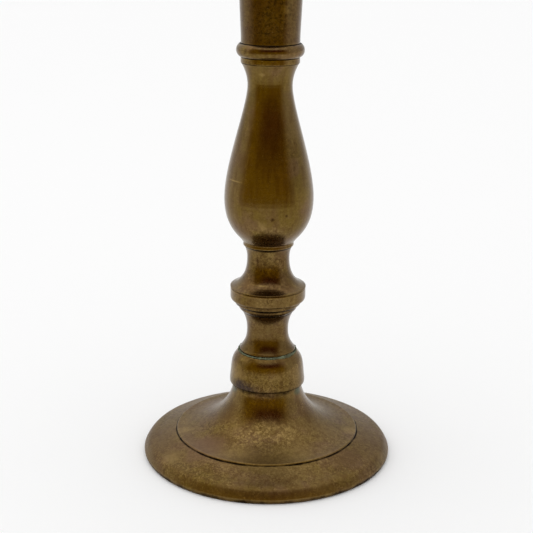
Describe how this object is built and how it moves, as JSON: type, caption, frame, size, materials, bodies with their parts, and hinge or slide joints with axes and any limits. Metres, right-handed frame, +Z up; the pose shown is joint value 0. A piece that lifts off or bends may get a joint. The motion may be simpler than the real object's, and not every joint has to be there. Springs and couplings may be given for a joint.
{
  "type": "altar candlestick",
  "caption": "Turned brass candlestick with a round stepped foot, knops, a pear-shaped stem, a candle socket and a lift-out wax pan.",
  "frame": {"origin": "centre of the foot's resting face", "axes": "+Z up along the stem's axis, from the foot to the wax pan"},
  "size_m": [0.127, 0.127, 0.254],
  "materials": {
    "aged_brass": "old satin brass with a brown patina",
    "pan_brass": "old satin brass, handled brighter",
    "rod_iron": "dark old iron"
  },
  "bodies": {
    "stick": {"foot": "aged_brass", "barrel_knop": "aged_brass", "lower_spool": "aged_brass", "disc_knop": "aged_brass", "upper_spool": "aged_brass", "pear_baluster": "aged_brass", "neck_collar": "aged_brass", "candle_socket": "aged_brass", "tie_rod": "rod_iron", "rod_washer": "aged_brass", "rod_nut": "rod_iron"},
    "pan": {"wax_pan": "pan_brass"}
  },
  "joints": [
    {"name": "pan_lift", "type": "slide", "parent": "stick", "child": "pan", "axis": [0, 0, 1], "range_m": [0, 0.035]}
  ]
}
